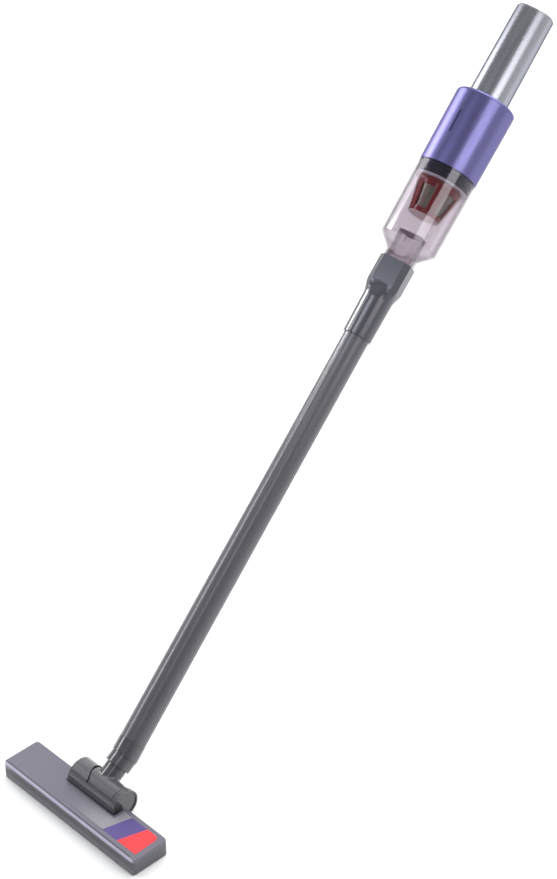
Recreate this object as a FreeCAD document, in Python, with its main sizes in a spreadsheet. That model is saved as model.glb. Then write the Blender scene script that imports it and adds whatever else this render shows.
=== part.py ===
"""Cordless stick vacuum: floor head, swivel neck, extension tube, adapter and hand-held unit.

The origin is the centre of the floor head's underside, +Z up, +X along the head, -Y its front edge.
The stick leans back over +Y. The head is in this frame, and three more carry the rest:
  NECK   origin on the pivot barrel's axis, z along the neck,
  STICK  origin at the elbow, z along the tube, -y the unit's upper face,
  CUP    STICK turned about its z, for the flat-sided adapter, inlet and cup.
"""
import FreeCAD, Part
import math
import os
import Sketcher
from FreeCAD import Placement, Rotation, Vector

SIZES = [
    # floor head
    ("head_length", 226.0, "floor head, end to end"),
    ("head_depth", 51.4, "floor head, front to back"),
    ("head_height", 22.0, "floor to the cover's top"),
    ("head_corner", 5.0, "corner radius in plan"),
    ("base_height", 18.0, "floor to the seam under the cover"),
    ("floor_thick", 2.5, "sole thickness"),
    ("cover_thick", 2.0, "cover plate thickness"),
    ("cover_edge", 1.6, "rounding of the cover's top edge"),
    ("wall", 4.2, "head's outer wall"),
    ("foot_edge", 1.5, "rounding of the sole's edge"),
    ("cove_radius", 14.0, "hollow along the head's front face"),
    ("cove_depth", 1.5, "depth of that hollow"),
    ("mouth_front", -19.0, "suction mouth, front edge in y"),
    ("mouth_back", -9.0, "suction mouth, rear edge in y"),
    ("mouth_half", 104.0, "half the suction mouth's length"),
    ("duct_half", 16.0, "half the width of the duct to the barrel"),
    ("notch_front", 7.0, "front edge of the notch round the barrel"),
    ("roller_x", 75.0, "roller, distance from the middle"),
    ("roller_y", 14.0, "roller axle in y"),
    ("roller_radius", 4.0, "roller"),
    ("roller_rise", 4.1, "roller axle above the floor"),
    # pivot barrel and neck
    ("barrel_y", 26.0, "pivot axis in y"),
    ("barrel_z", 24.0, "pivot axis above the floor"),
    ("barrel_left", -37.0, "left face of the barrel"),
    ("barrel_right", 41.0, "right face of the barrel"),
    ("cradle_radius", 18.5, "outside of the fixed cradle"),
    ("barrel_radius", 17.2, "outside of the turning barrel"),
    ("barrel_bore", 13.6, "inside of the turning barrel"),
    ("window_left", -17.0, "left edge of the neck's window"),
    ("window_corner", 12.0, "rounding of the window's left corners"),
    ("window_tilt", 47.0, "window's middle direction, tilted back from vertical"),
    ("run_gap", 0.08, "radial clearance of a running fit"),
    ("neck_pitch", 55.7, "neck, tilted back from vertical"),
    ("neck_radius", 13.1, "outside of the neck"),
    ("neck_bore", 10.2, "inside of the neck"),
    ("neck_round", 2.5, "rounding where the neck meets the barrel"),
    ("journal_radius", 12.3, "neck journal inside the collar"),
    ("collar_start", 29.3, "collar's lower face along the neck"),
    ("elbow_reach", 43.0, "pivot axis to elbow"),
    ("collar_radius", 15.75, "outside of the collar"),
    # stick
    ("wand_pitch", 49.3, "tube, tilted back from vertical"),
    ("wand_lean", 5.0, "tube, leaning towards -X"),
    ("cup_turn", 15.0, "adapter's and cup's flat sides, turned about the stick"),
    ("coupling_radius", 16.6, "outside of the elbow coupling"),
    ("tube_start", 19.8, "tube's lower end"),
    ("tube_end", 575.0, "tube's upper end, inside the adapter"),
    ("tube_radius", 16.0, "outside of the tube"),
    ("tube_bore", 14.6, "inside of the tube"),
    ("socket_start", 550.1, "adapter's lower end"),
    ("socket_low", 18.1, "adapter radius at its lower end"),
    ("socket_high", 18.75, "adapter radius where it flares"),
    ("flare_start", 599.5, "start of the flare"),
    ("flat_start", 619.0, "start of the flat-sided part"),
    ("adapter_top", 650.5, "adapter's upper face"),
    ("flat_width", 41.0, "flat-sided part across x"),
    ("flat_depth", 32.4, "flat-sided part across y"),
    ("flat_corner", 6.8, "its corner chamfers"),
    ("nozzle_start", 628.0, "lower end of the cup's nozzle"),
    ("nozzle_width", 35.6, "nozzle across x"),
    ("nozzle_depth", 27.0, "nozzle across y"),
    ("nozzle_corner", 5.0, "nozzle's corner chamfers"),
    ("skin", 2.0, "cup wall"),
    ("cone_start", 653.5, "lower end of the cup's cone"),
    ("cone_radius", 13.5, "cone radius there"),
    ("throat", 668.0, "upper end of the nozzle, inside the cone"),
    ("cup_start", 675.5, "cup's lower corner"),
    ("cup_low", 35.85, "cup radius at its lower corner"),
    ("cup_high", 36.75, "cup radius at its rim"),
    ("cup_top", 771.4, "cup rim"),
    ("inlet_start", 631.0, "lower end of the inlet pipe"),
    ("inlet_top", 686.0, "upper end of the inlet pipe"),
    ("flap_y", 13.3, "flap hinge behind the axis"),
    ("flap_lift", 1.5, "flap hinge above the inlet tube"),
    # filter
    ("basket_bottom", 712.0, "filter basket, lower face"),
    ("basket_low", 20.0, "basket radius at its lower face"),
    ("basket_high", 28.0, "basket radius under its top ring"),
    ("basket_top", 754.0, "basket, upper face"),
    ("window_angle", 43.0, "angle of one basket window"),
    ("window_low", 717.5, "basket windows, lower edge"),
    ("window_high", 744.5, "basket windows, upper edge"),
    # motor housing
    ("housing_start", 771.7, "housing, lower end"),
    ("housing_low", 37.05, "housing radius at its lower end"),
    ("housing_high", 37.95, "housing radius at its rim"),
    ("housing_top", 868.4, "housing, upper face"),
    ("housing_wall", 2.2, "housing wall"),
    ("shoulder", 3.8, "thickness of the housing's upper face"),
    ("rim_round", 4.0, "rounding of the housing's rim"),
    ("light_low", 809.0, "light bar, lower end"),
    ("light_high", 838.5, "light bar, upper end"),
    ("light_half", 1.6, "half the light bar's width"),
    # handle
    ("handle_low", 25.05, "handle radius at the housing"),
    ("handle_high", 24.15, "handle radius at its end"),
    ("handle_bore", 22.4, "inside of the handle"),
    ("handle_top", 990.7, "handle, end face"),
    ("cap_height", 3.4, "visible height of the end cap"),
    ("cap_round", 2.6, "rounding of the end cap"),
    ("button_radius", 9.0, "power button"),
    ("button_stand", 0.9, "power button above the end cap"),
    ("cell_radius", 9.1, "battery cell"),
    ("cell_offset", 10.75, "battery cell's distance from the axis"),
    ("cell_start", 882.0, "battery cells, lower end"),
    ("cell_length", 65.0, "battery cell"),
    ("screw_radius", 1.25, "self-tapping screw"),
]

doc = FreeCAD.newDocument("stick_vacuum")
sheet = doc.addObject("Spreadsheet::Sheet", "Dims")


class Size:
    """A size worked out from the sheet: its value, and the expression that keeps it bound."""

    def __init__(self, value, text):
        self.value, self.text = float(value), text

    def __add__(self, other):
        other = size(other)
        return Size(self.value + other.value, "(%s + %s)" % (self.text, other.text))

    def __sub__(self, other):
        other = size(other)
        return Size(self.value - other.value, "(%s - %s)" % (self.text, other.text))

    def __mul__(self, other):
        other = size(other)
        return Size(self.value * other.value, "(%s * %s)" % (self.text, other.text))

    def __truediv__(self, other):
        other = size(other)
        return Size(self.value / other.value, "(%s / %s)" % (self.text, other.text))

    def __neg__(self):
        return Size(-self.value, "(0 - %s)" % self.text)


def size(number):
    """A Size from a Size or from a plain number."""
    return number if isinstance(number, Size) else Size(number, "%r" % float(number))


class Sheet:
    """The driving dimensions by name, each one a Size."""


D = Sheet()
for row, (alias, value, note) in enumerate(SIZES, start=1):
    sheet.set("A%d" % row, alias)
    sheet.set("B%d" % row, "%g" % value)
    sheet.set("C%d" % row, note)
    sheet.setAlias("B%d" % row, alias)
    setattr(D, alias, Size(value, "Dims.%s" % alias))
doc.recompute()

nodes = []


def bind(obj, prop, amount):
    """Binds one property of an object to the sheet."""
    obj.setExpression(prop, size(amount).text)


def place(obj, x, y, z):
    for name, amount in (("x", x), ("y", y), ("z", z)):
        bind(obj, ".Placement.Base." + name, amount)


def unique(kind):
    return "%s_%d" % (kind, len(doc.Objects))


def box(x, y, z):
    """A block between two limits on each axis."""
    obj = doc.addObject("Part::Box", unique("Block"))
    for prop, (low, high) in (("Length", x), ("Width", y), ("Height", z)):
        bind(obj, prop, size(high) - low)
    place(obj, x[0], y[0], z[0])
    return obj


TURNS = {"x": Rotation(Vector(0, 1, 0), 90), "y": Rotation(Vector(1, 0, 0), -90), "z": Rotation()}


def rod(radius, low, high, axis="z", at=(0, 0)):
    """A cylinder along an axis; `at` holds its place on the other two axes, in order."""
    obj = doc.addObject("Part::Cylinder", unique("Rod"))
    bind(obj, "Radius", radius)
    bind(obj, "Height", size(high) - low)
    obj.Placement = Placement(Vector(), TURNS[axis])
    first, second = at
    spots = {"x": (low, first, second), "y": (first, low, second), "z": (first, second, low)}
    place(obj, *spots[axis])
    return obj


def fuse(*parts):
    obj = doc.addObject("Part::MultiFuse", unique("Fuse"))
    obj.Shapes = list(parts)
    return obj


def cut(base, *tools):
    obj = doc.addObject("Part::Cut", unique("Cut"))
    obj.Base = base
    obj.Tool = tools[0] if len(tools) == 1 else fuse(*tools)
    return obj


def common(first, second):
    obj = doc.addObject("Part::MultiCommon", unique("Common"))
    obj.Shapes = [first, second]
    return obj


def group(*parts):
    """Separate solids kept side by side in one node."""
    obj = doc.addObject("Part::Compound", unique("Group"))
    obj.Links = list(parts)
    return obj


def node(name, obj, frame=None):
    """Names a finished piece and stands it in its frame."""
    obj.Label = name
    if frame is not None:
        obj.Placement = frame
    nodes.append(obj)
    return obj


def origin_plane(body, role):
    return next(item for item in body.Origin.OriginFeatures if item.Role == role)


def outline(sketch, points):
    """A closed outline of straight lines, every corner bound to the sheet."""
    spots = [(size(a), size(b)) for a, b in points]
    count = len(spots)
    for i, (a, b) in enumerate(spots):
        c, d = spots[(i + 1) % count]
        sketch.addGeometry(Part.LineSegment(Vector(a.value, b.value, 0), Vector(c.value, d.value, 0)))
    for i, (a, b) in enumerate(spots):
        sketch.addConstraint(Sketcher.Constraint("Coincident", i, 2, (i + 1) % count, 1))
        for kind, letter, amount in (("DistanceX", "a", a), ("DistanceY", "b", b)):
            label = "%s%d" % (letter, i)
            sketch.addConstraint(Sketcher.Constraint(kind, -1, 1, i, 1, amount.value))
            sketch.renameConstraint(sketch.ConstraintCount - 1, label)
            if amount.text != "%r" % amount.value:
                sketch.setExpression("Constraints." + label, amount.text)


def sketched(plane, points):
    body = doc.addObject("PartDesign::Body", unique("Body"))
    sketch = body.newObject("Sketcher::SketchObject", unique("Outline"))
    sketch.AttachmentSupport = [(origin_plane(body, plane), "")]
    sketch.MapMode = "FlatFace"
    outline(sketch, points)
    return body, sketch


def turned(*points):
    """A body turned about z from an outline of (radius, height) corners."""
    body, sketch = sketched("XZ_Plane", points)
    turn = body.newObject("PartDesign::Revolution", unique("Turn"))
    turn.Profile = sketch
    turn.ReferenceAxis = (sketch, ["V_Axis"])
    turn.Angle = 360
    doc.recompute()
    return body


def padded(height, *points):
    """A body padded upwards from an outline in the XY plane."""
    body, sketch = sketched("XY_Plane", points)
    pad = body.newObject("PartDesign::Pad", unique("Pad"))
    pad.Profile = sketch
    bind(pad, "Length", height)
    doc.recompute()
    return body


def round_edges(body, radius, wanted):
    """Rounds the body's edges that `wanted` picks."""
    base = body.Tip
    names = ["Edge%d" % (i + 1) for i, edge in enumerate(base.Shape.Edges) if wanted(edge)]
    fillet = body.newObject("PartDesign::Fillet", unique("Round"))
    fillet.Base = (base, names)
    bind(fillet, "Radius", radius)
    body.Tip = fillet
    doc.recompute()
    return body


def upright(edge):
    direction = edge.tangentAt(edge.FirstParameter)
    return len(edge.Vertexes) == 2 and abs(abs(direction.z) - 1) < 1e-6


def circle_at(radius, height):
    """Picks the circular edge of one radius at one height."""
    radius, height = size(radius).value, size(height).value

    def wanted(edge):
        if edge.Curve.TypeId != "Part::GeomCircle":
            return False
        return abs(edge.Curve.Radius - radius) < 0.01 and abs(edge.Curve.Center.z - height) < 0.01

    return wanted


def frame(origin, *turns):
    rotation = Rotation()
    for axis, angle in turns:
        rotation = rotation * Rotation(axis, angle)
    return Placement(origin, rotation)


X_AXIS, Y_AXIS, Z_AXIS = Vector(1, 0, 0), Vector(0, 1, 0), Vector(0, 0, 1)
PIVOT = Vector(0, D.barrel_y.value, D.barrel_z.value)
NECK = frame(PIVOT, (X_AXIS, -D.neck_pitch.value))
ELBOW = NECK.multVec(Vector(0, 0, D.elbow_reach.value))
STICK = frame(ELBOW, (X_AXIS, -D.wand_pitch.value), (Y_AXIS, -D.wand_lean.value))
CUP = STICK.multiply(Placement(Vector(), Rotation(Z_AXIS, D.cup_turn.value)))


def polar(count, start=0.0, span=360.0):
    """Evenly spaced directions in degrees."""
    return [start + span * i / count for i in range(count)]


def turned_about_z(obj, angle):
    """Turns a piece, in place, about its frame's z axis."""
    obj.Placement = Placement(Vector(), Rotation(Z_AXIS, angle)) * obj.Placement
    return obj


def ring(inner, outer, low, high):
    return turned((inner, low), (outer, low), (outer, high), (inner, high))


# ---------------------------------------------------------------- floor head

def rounded_slab(height, inset=0.0):
    half_x, half_y = D.head_length / 2 - inset, D.head_depth / 2 - inset
    slab = padded(height, (-half_x, -half_y), (half_x, -half_y), (half_x, half_y), (-half_x, half_y))
    return round_edges(slab, D.head_corner - inset, upright)


BOSSES = [(-100.0, 17.0), (100.0, 17.0), (-52.0, 1.0), (56.0, 1.0)]
BOSS_TOP = 11.9


def head_base():
    """Lower shell: sole with the suction mouth, air channel, duct, roller pockets, screw bosses."""
    top = D.base_height + 1
    inner_x, inner_y = D.head_length / 2 - D.wall, D.head_depth / 2 - D.wall + 1.7
    channel = box((-inner_x, inner_x), (-(D.head_depth / 2 - D.wall), D.mouth_back + 2.5), (D.floor_thick, top))
    duct = box((-D.duct_half, D.duct_half), (D.mouth_back + 2, 6), (D.floor_thick, top))
    notch = box((D.barrel_left - 1.3, D.barrel_right + 1.3), (D.notch_front + 0.3, 30), (D.floor_thick, top))
    left = box((-inner_x, D.barrel_left - 3.8), (-4, inner_y), (D.floor_thick, top))
    right = box((D.barrel_right + 3.8, inner_x), (-4, inner_y), (D.floor_thick, top))
    mouth = box((-D.mouth_half, D.mouth_half), (D.mouth_front, D.mouth_back), (-1, 3))
    cove = rod(D.cove_radius, -120, 120, "x", (-(D.head_depth / 2) - D.cove_radius + D.cove_depth, 11.4))
    seal_seat = box((-19.2, 19.2), (5.8, D.notch_front + 0.4), (D.floor_thick, top))
    strips = [box((-104.2, 104.2), (low, low + 3.2), (-1, 1)) for low in (-24.0, -7.8)]
    block = round_edges(rounded_slab(D.base_height), D.foot_edge, lambda edge: edge.BoundBox.ZMax < 0.01)
    shell = cut(block, channel, duct, notch, left, right, mouth, cove, seal_seat, *strips)
    ears, pockets = [], []
    for side in (-1, 1):
        middle = D.roller_x * side
        ears.append(box((middle - 8.5, middle + 8.5), (8, 20), (1, 9)))
        pockets.append(box((middle - 5.5, middle + 5.5), (9, 19), (-1, 10)))
        pockets.append(rod(1.02, middle - 7.8, middle + 7.8, "x", (D.roller_y, D.roller_rise)))
    bosses = [rod(3.4, 1, BOSS_TOP, "z", spot) for spot in BOSSES]
    holes = []
    for spot in BOSSES:
        holes.append(rod(D.screw_radius + 0.15, -1, 20, "z", spot))
        holes.append(rod(2.8, -1, 2.6, "z", spot))
    for x in (-29.0, 29.0):
        holes.append(rod(D.screw_radius + 0.15, -1, 20, "z", (x, 18)))
        holes.append(rod(2.4, -1, 2.2, "z", (x, 18)))
    return cut(fuse(shell, *ears, *bosses), *pockets, *holes)


def head_cover():
    """Top plate with a groove behind its front edge, posts for the screws and a notch round the barrel."""
    plate = rounded_slab(D.head_height - D.base_height)
    rim = D.head_height - D.base_height
    round_edges(plate, D.cover_edge, lambda edge: edge.BoundBox.ZMin > rim.value - 0.01)
    plate.Placement = Placement(Vector(0, 0, D.base_height.value), Rotation())
    half_x, half_y = D.head_length / 2 - D.wall, D.head_depth / 2 - D.wall
    hollow = box((-half_x, half_x), (-half_y, half_y), (0, D.head_height - D.cover_thick))
    notch = box((D.barrel_left - 2.4, D.barrel_right + 2.4), (D.notch_front, 40), (0, 40))
    line = box((-120, 104), (-22.5, -21.7), (D.head_height - 0.7, 40))
    posts = [rod(3.2, BOSS_TOP + 0.1, D.head_height - 1, "z", spot) for spot in BOSSES]
    pilots = [rod(D.screw_radius + 0.05, 0, 17, "z", spot) for spot in BOSSES]
    return cut(fuse(cut(plate, hollow, notch, line), *posts), *pilots)


def label_panel():
    """Thin decorative film on the cover, stepping round the barrel's notch."""
    return padded(0.25, (-6.8, -16.0), (105.5, -16.0), (105.0, 15.0), (101.0, 20.0), (47, 20), (47, 4.5), (-6.8, 4.5))


def sole_strip(low):
    return box((-104, 104), (low, low + 3), (0.2, 1))


def screw(spot, head_low, head_radius, length):
    """A self-tapping screw driven upwards: pan head below, shank above."""
    head = rod(head_radius, head_low, head_low + 1.6, "z", spot)
    shank = rod(D.screw_radius, head_low + 1.4, head_low + 1.6 + length, "z", spot)
    return fuse(head, shank)


def head_pieces():
    node("head_base", head_base())
    node("head_cover", head_cover())
    film = label_panel()
    node("label_panel", film, Placement(Vector(0, 0, D.head_height.value), Rotation()))
    node("lint_strip_front", sole_strip(-23.9))
    node("lint_strip_rear", sole_strip(-7.7))
    node("head_screws", group(*[screw(spot, 1.0, 2.6, 13) for spot in BOSSES]))
    node("cradle_screws", group(*[screw((x, 18), 0.6, 2.2, 6.0) for x in (-29.0, 29.0)]))
    frame_outer = box((-19, 19), (5.9, 7.2), (2.6, 17.9))
    node("duct_seal", cut(frame_outer, box((-15.9, 15.9), (5, 8), (5, 16))))
    axles = [rod(1, D.roller_x * side - 7.7, D.roller_x * side + 7.7, "x", (D.roller_y, D.roller_rise))
             for side in (-1, 1)]
    node("roller_axles", group(*axles))
    for name, side in (("roller_left", -1), ("roller_right", 1)):
        middle = D.roller_x * side
        spot = (D.roller_y, D.roller_rise)
        wheel = rod(D.roller_radius, middle - 5, middle + 5, "x", spot)
        node(name, cut(wheel, rod(D.run_gap + 1, middle - 6, middle + 6, "x", spot)))


# ---------------------------------------------------------------- pivot barrel

def window_block(left, right, corner):
    """Rounded block that looks along the window's middle direction, origin on the pivot axis."""
    block = padded(30, (left, -19), (right, -19), (right, 19), (left, 19))
    middle = (size(left).value + size(right).value) / 2
    round_edges(block, corner, lambda edge: upright(edge) and edge.CenterOfMass.x < middle)
    tilt = Rotation(X_AXIS, -D.window_tilt.value)
    block.Placement = Placement(PIVOT + tilt.multVec(Vector(0, 0, -3.2)), tilt)
    return block


def pivot_rod(radius, low, high):
    return rod(radius, low, high, "x", (D.barrel_y, D.barrel_z))


def pivot_cradle():
    """Fixed shell round the barrel: full round on the left, a strip in front, two feet."""
    low, high = D.barrel_left + 2, D.barrel_right - 6
    shell = fuse(pivot_rod(D.cradle_radius, low, high),
                 box((low, low + 12), (9, 25.6), (2.6, 12)), box((high - 12, high), (9, 25.6), (2.6, 12)))
    bore = pivot_rod(D.barrel_radius + D.run_gap, low - 1, high + 1)
    window = window_block(D.window_left, high + 5, D.window_corner)
    mouth = box((-D.duct_half + 0.5, D.duct_half - 0.5), (4, 20), (6.5, 19))
    pilots = [rod(D.screw_radius + 0.05, 0, 8.6, "z", (x, 18)) for x in (-29.0, 29.0)]
    return cut(shell, bore, window, mouth, *pilots)


def pivot_cap(outer_face, inner_face, boss_end):
    """End cap of the cradle with a boss that centres the barrel's bore."""
    low, high = sorted((outer_face, inner_face), key=lambda item: item.value)
    boss_low, boss_high = sorted((size(inner_face), boss_end), key=lambda item: item.value)
    disc = pivot_rod(D.cradle_radius, low, high)
    boss = pivot_rod(D.barrel_bore - D.run_gap, boss_low, boss_high)
    bored = pivot_rod(D.barrel_bore - 2, boss_low - 1, boss_high + 1)
    return disc, cut(boss, bored)


def pivot_cap_left():
    disc, boss = pivot_cap(D.barrel_left, D.barrel_left + 2, D.barrel_left + 6)
    return fuse(cut(disc, pivot_rod(12, D.barrel_left - 1, D.barrel_left + 1)), boss,
                pivot_rod(D.barrel_bore - 1.5, D.barrel_left + 1, D.barrel_left + 2))


def pivot_cap_right():
    """The right cap has a dished face inside a raised rim."""
    face = D.barrel_right
    disc, boss = pivot_cap(face, face - 6, face - 10)
    seam = cut(pivot_rod(20, face - 3.4, face - 2.8), pivot_rod(D.cradle_radius - 0.5, face - 4, face - 2))
    return fuse(cut(disc, pivot_rod(D.cradle_radius - 2.2, face - 1.2, face + 1), seam), boss)


def rounded_joint(tee):
    """Rounds the curved edge where the neck meets the barrel."""
    doc.recompute()
    meeting = [i + 1 for i, edge in enumerate(tee.Shape.Edges) if edge.Curve.TypeId == "Part::GeomBSplineCurve"]
    fillet = doc.addObject("Part::Fillet", unique("Joint"))
    fillet.Base = tee
    fillet.Edges = [(i, D.neck_round.value, D.neck_round.value) for i in meeting]
    return fillet


def pivot_barrel():
    """Turning barrel and neck, moulded as one tee; the air leaves through its open underside."""
    low, high = D.barrel_left + 2.2, D.barrel_right - 6.2
    tee = fuse(rod(D.barrel_radius, low, high, "x"), rod(D.neck_radius, 0, D.collar_start - 0.3))
    solid = fuse(rounded_joint(tee), rod(D.journal_radius, 20, 41.5))
    moat_frame = NECK.inverse()
    outer = window_block(D.window_left + 0.1, high - 0.6, D.window_corner)
    inner = window_block(D.window_left + 2.5, high - 2.2, D.window_corner - 1)
    for block in (outer, inner):
        block.Placement = moat_frame * block.Placement
    moat = cut(outer, inner, rod(15.2, low - 1, high + 1, "x"), rod(D.neck_radius + 3.2, 0, 40))
    grooves = [cut(rod(20, x, x + 2, "x"), rod(15.8, x - 1, x + 3, "x")) for x in (low + 2, high - 2.1)]
    snap = ring(11.4, 20, 38.5, 40.1)
    bore = rod(D.barrel_bore, low - 1, high + 1, "x")
    return cut(solid, bore, rod(D.neck_bore, 0, 50), moat, snap, *grooves, box((-18, 18), (-14, 14), (-30, -7)))


def pivot_pieces():
    node("pivot_cradle", pivot_cradle())
    node("pivot_cap_left", pivot_cap_left())
    node("pivot_cap_right", pivot_cap_right())
    node("pivot_barrel", pivot_barrel(), NECK)
    low, high = D.barrel_left + 2.2, D.barrel_right - 6.2
    seals = [cut(rod(17.15, x + 0.1, x + 1.9, "x"), rod(15.85, x - 1, x + 3, "x")) for x in (low + 2, high - 2.1)]
    node("barrel_seals", group(*seals), NECK)
    node("swivel_ring", ring(11.5, 13.3, 38.6, 40), NECK)


# ---------------------------------------------------------------- elbow, tube, adapter

def swivel_collar():
    return turned((D.journal_radius + 0.1, D.collar_start), (D.collar_radius, D.collar_start),
                  (D.collar_radius, D.elbow_reach), (14.6, D.elbow_reach), (14.6, D.collar_start + 1.5),
                  (D.journal_radius + 0.1, D.collar_start + 1.5))


def elbow_coupling():
    """Bent coupling: a sleeve round the neck's journal below, a spigot for the tube above."""
    sleeve = ring(D.journal_radius + 0.06, 14.5, D.collar_start + 1.6, D.elbow_reach + 1)
    sleeve.Placement = NECK
    shoulder = D.tube_start - 0.2
    spigot_radius = D.tube_bore - D.run_gap
    upper = turned((0, -9), (D.coupling_radius, -9), (D.coupling_radius, shoulder), (spigot_radius, shoulder),
                   (spigot_radius, shoulder + 26), (0, shoulder + 26))
    upper.Placement = STICK
    below = box((-40, 40), (-40, 40), (-60, D.elbow_reach + 0.2))
    below_neck = fuse(below, box((-1, 1), (-1, 1), (-59, -58)))
    below_neck.Placement = NECK
    pocket = ring(0, 13.5, 38.2, D.elbow_reach + 0.4)
    pocket.Placement = NECK
    bore = turned((0, 0), (11.8, 0), (11.8, 60), (0, 60))
    bore.Placement = STICK
    ball = doc.addObject("Part::Sphere", unique("Ball"))
    ball.Radius = 11.8
    ball.Placement = Placement(ELBOW, Rotation())
    return cut(fuse(sleeve, cut(upper, below_neck)), pocket, bore, ball)


def octagon(width, depth, corner):
    """Corners of a rectangle with chamfered corners."""
    a, b, c = width / 2, depth / 2, corner
    return [(a, -b + c), (a, b - c), (a - c, b), (-a + c, b), (-a, b - c), (-a, -b + c), (-a + c, -b), (a - c, -b)]


def prism(width, depth, corner, low, high):
    """Chamfered rectangular bar along z."""
    width, depth, corner = size(width), size(depth), size(corner)
    bar = padded(size(high) - low, *octagon(width, depth, corner))
    bar.Placement = Placement(Vector(0, 0, size(low).value), Rotation())
    return bar


def flare_section(blend, height):
    """Eight-sided wire that turns from a circle (blend 0) into the chamfered rectangle (blend 1)."""
    corners = octagon(D.flat_width.value, D.flat_depth.value, D.flat_corner.value)
    radius = D.socket_high.value
    edges = []
    for i, start in enumerate(corners):
        end = corners[(i + 1) % len(corners)]
        angles = [math.atan2(start[1], start[0]), math.atan2(end[1], end[0])]
        if angles[1] < angles[0]:
            angles[1] += 2 * math.pi
        middle = ((start[0] + end[0]) / 2, (start[1] + end[1]) / 2)
        flats = [start, (middle[0] * 1.0005, middle[1] * 1.0005), end]
        turns = [angles[0], sum(angles) / 2, angles[1]]
        spots = []
        for flat, turn in zip(flats, turns):
            x = radius * math.cos(turn) * (1 - blend) + flat[0] * blend
            y = radius * math.sin(turn) * (1 - blend) + flat[1] * blend
            spots.append(Vector(x, y, height))
        edges.append(Part.Arc(*spots).toShape())
    return Part.Wire(edges)


def adapter_flare():
    """Smooth change from the round socket to the flat-sided mouth."""
    steps = 6
    low, high = D.flare_start.value, D.flat_start.value
    wires = []
    for i in range(steps + 1):
        part = i / steps
        wires.append(flare_section(part * part * (3 - 2 * part), low + (high - low) * part))
    loft = doc.addObject("Part::Feature", unique("Flare"))
    loft.Shape = Part.makeLoft(wires, True, False)
    return loft


def wand_adapter():
    socket = turned((0, D.socket_start), (D.socket_low, D.socket_start), (D.socket_high, D.flare_start),
                    (0, D.flare_start))
    mouth = prism(D.flat_width, D.flat_depth, D.flat_corner, D.flat_start, D.adapter_top)
    outside = fuse(socket, adapter_flare(), mouth)
    seat = D.tube_end + 0.3
    bores = turned((0, D.socket_start - 1), (D.tube_radius + D.run_gap, D.socket_start - 1),
                   (D.tube_radius + D.run_gap, seat), (D.tube_bore, seat), (D.tube_bore, D.flare_start + 5),
                   (12.4, D.nozzle_start), (12.4, D.adapter_top), (0, D.adapter_top))
    nozzle_seat = prism(D.nozzle_width + 0.2, D.nozzle_depth + 0.2, D.nozzle_corner, D.nozzle_start - 0.3,
                        D.adapter_top + 1)
    seal_seat = ring(14, 17.2, D.socket_start + 6, D.socket_start + 8)
    return cut(outside, bores, nozzle_seat, seal_seat)


def wand_pieces():
    node("swivel_collar", swivel_collar(), NECK)
    node("elbow_coupling", elbow_coupling())
    node("extension_tube", ring(D.tube_bore, D.tube_radius, D.tube_start, D.tube_end), STICK)
    node("wand_adapter", wand_adapter(), CUP)
    node("adapter_seal", ring(D.tube_radius + 0.05, 17.1, D.socket_start + 6.1, D.socket_start + 7.9), STICK)


# ---------------------------------------------------------------- dust cup

def dust_cup():
    """Clear cup: flat-sided nozzle, shallow cone and a slightly flared wall."""
    outer = fuse(turned((0, D.cone_start), (D.cone_radius, D.cone_start), (D.cup_low, D.cup_start),
                        (D.cup_high, D.cup_top), (0, D.cup_top)),
                 prism(D.nozzle_width, D.nozzle_depth, D.nozzle_corner, D.nozzle_start, D.throat))
    inner = fuse(turned((0, D.cone_start + D.skin), (D.cone_radius - 0.8, D.cone_start + D.skin),
                        (D.cup_low - D.skin, D.cup_start + 0.8), (D.cup_high - D.skin, D.cup_top + 1),
                        (0, D.cup_top + 1)),
                 prism(D.nozzle_width - 4, D.nozzle_depth - 4, D.nozzle_corner - 1.2, D.nozzle_start - 1,
                       D.throat + 1))
    return cut(outer, inner)


def inlet_tube():
    """Flat-sided inlet pipe that fits the nozzle and stands in the cup, with ears for the flap's pin."""
    width, depth, corner = D.nozzle_width - 4.2, D.nozzle_depth - 4.2, D.nozzle_corner - 1.2
    pipe = prism(width, depth, corner, D.inlet_start, D.inlet_top)
    bore = prism(width - 2.6, depth - 2.6, corner - 0.7, D.inlet_start - 1, D.inlet_top + 1)
    hinge = D.inlet_top + D.flap_lift
    ears = [box((x, x + 1.6), (depth / 2 - 0.8, D.flap_y + 1.7), (D.inlet_top - 6, hinge + 1.6))
            for x in (-12.4, 10.8)]
    pin_hole = rod(0.82, -13, 13, "x", (D.flap_y, hinge))
    return cut(fuse(pipe, *ears), bore, pin_hole)


def flap_valve():
    """Soft flap that falls shut on the inlet pipe."""
    width, depth, corner = D.nozzle_width - 4.2, D.nozzle_depth - 4.2, D.nozzle_corner - 1.2
    hinge = D.inlet_top + D.flap_lift
    lid = prism(width, depth, corner, D.inlet_top + 0.2, D.inlet_top + 1.4)
    arm = box((-10, 10), (6, D.flap_y), (D.inlet_top + 0.2, D.inlet_top + 1.4))
    knuckle = rod(1.7, -10.4, 10.4, "x", (D.flap_y, hinge))
    clear = rod(0.88, -14, 14, "x", (D.flap_y, hinge))
    corners = [box((x, x + 10), (depth / 2 - 1.4, 20), (D.inlet_top, D.inlet_top + 4)) for x in (-20.5, 10.5)]
    return cut(fuse(lid, arm, knuckle), clear, *corners)


def cup_pieces():
    node("dust_cup", dust_cup(), CUP)
    node("inlet_tube", inlet_tube(), CUP)
    pin = rod(0.8, -12.7, 12.7, "x", (D.flap_y, D.inlet_top + D.flap_lift))
    node("flap_pin", group(pin), CUP)
    node("flap_valve", flap_valve(), CUP)


# ---------------------------------------------------------------- filter

WINDOWS = 5


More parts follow.
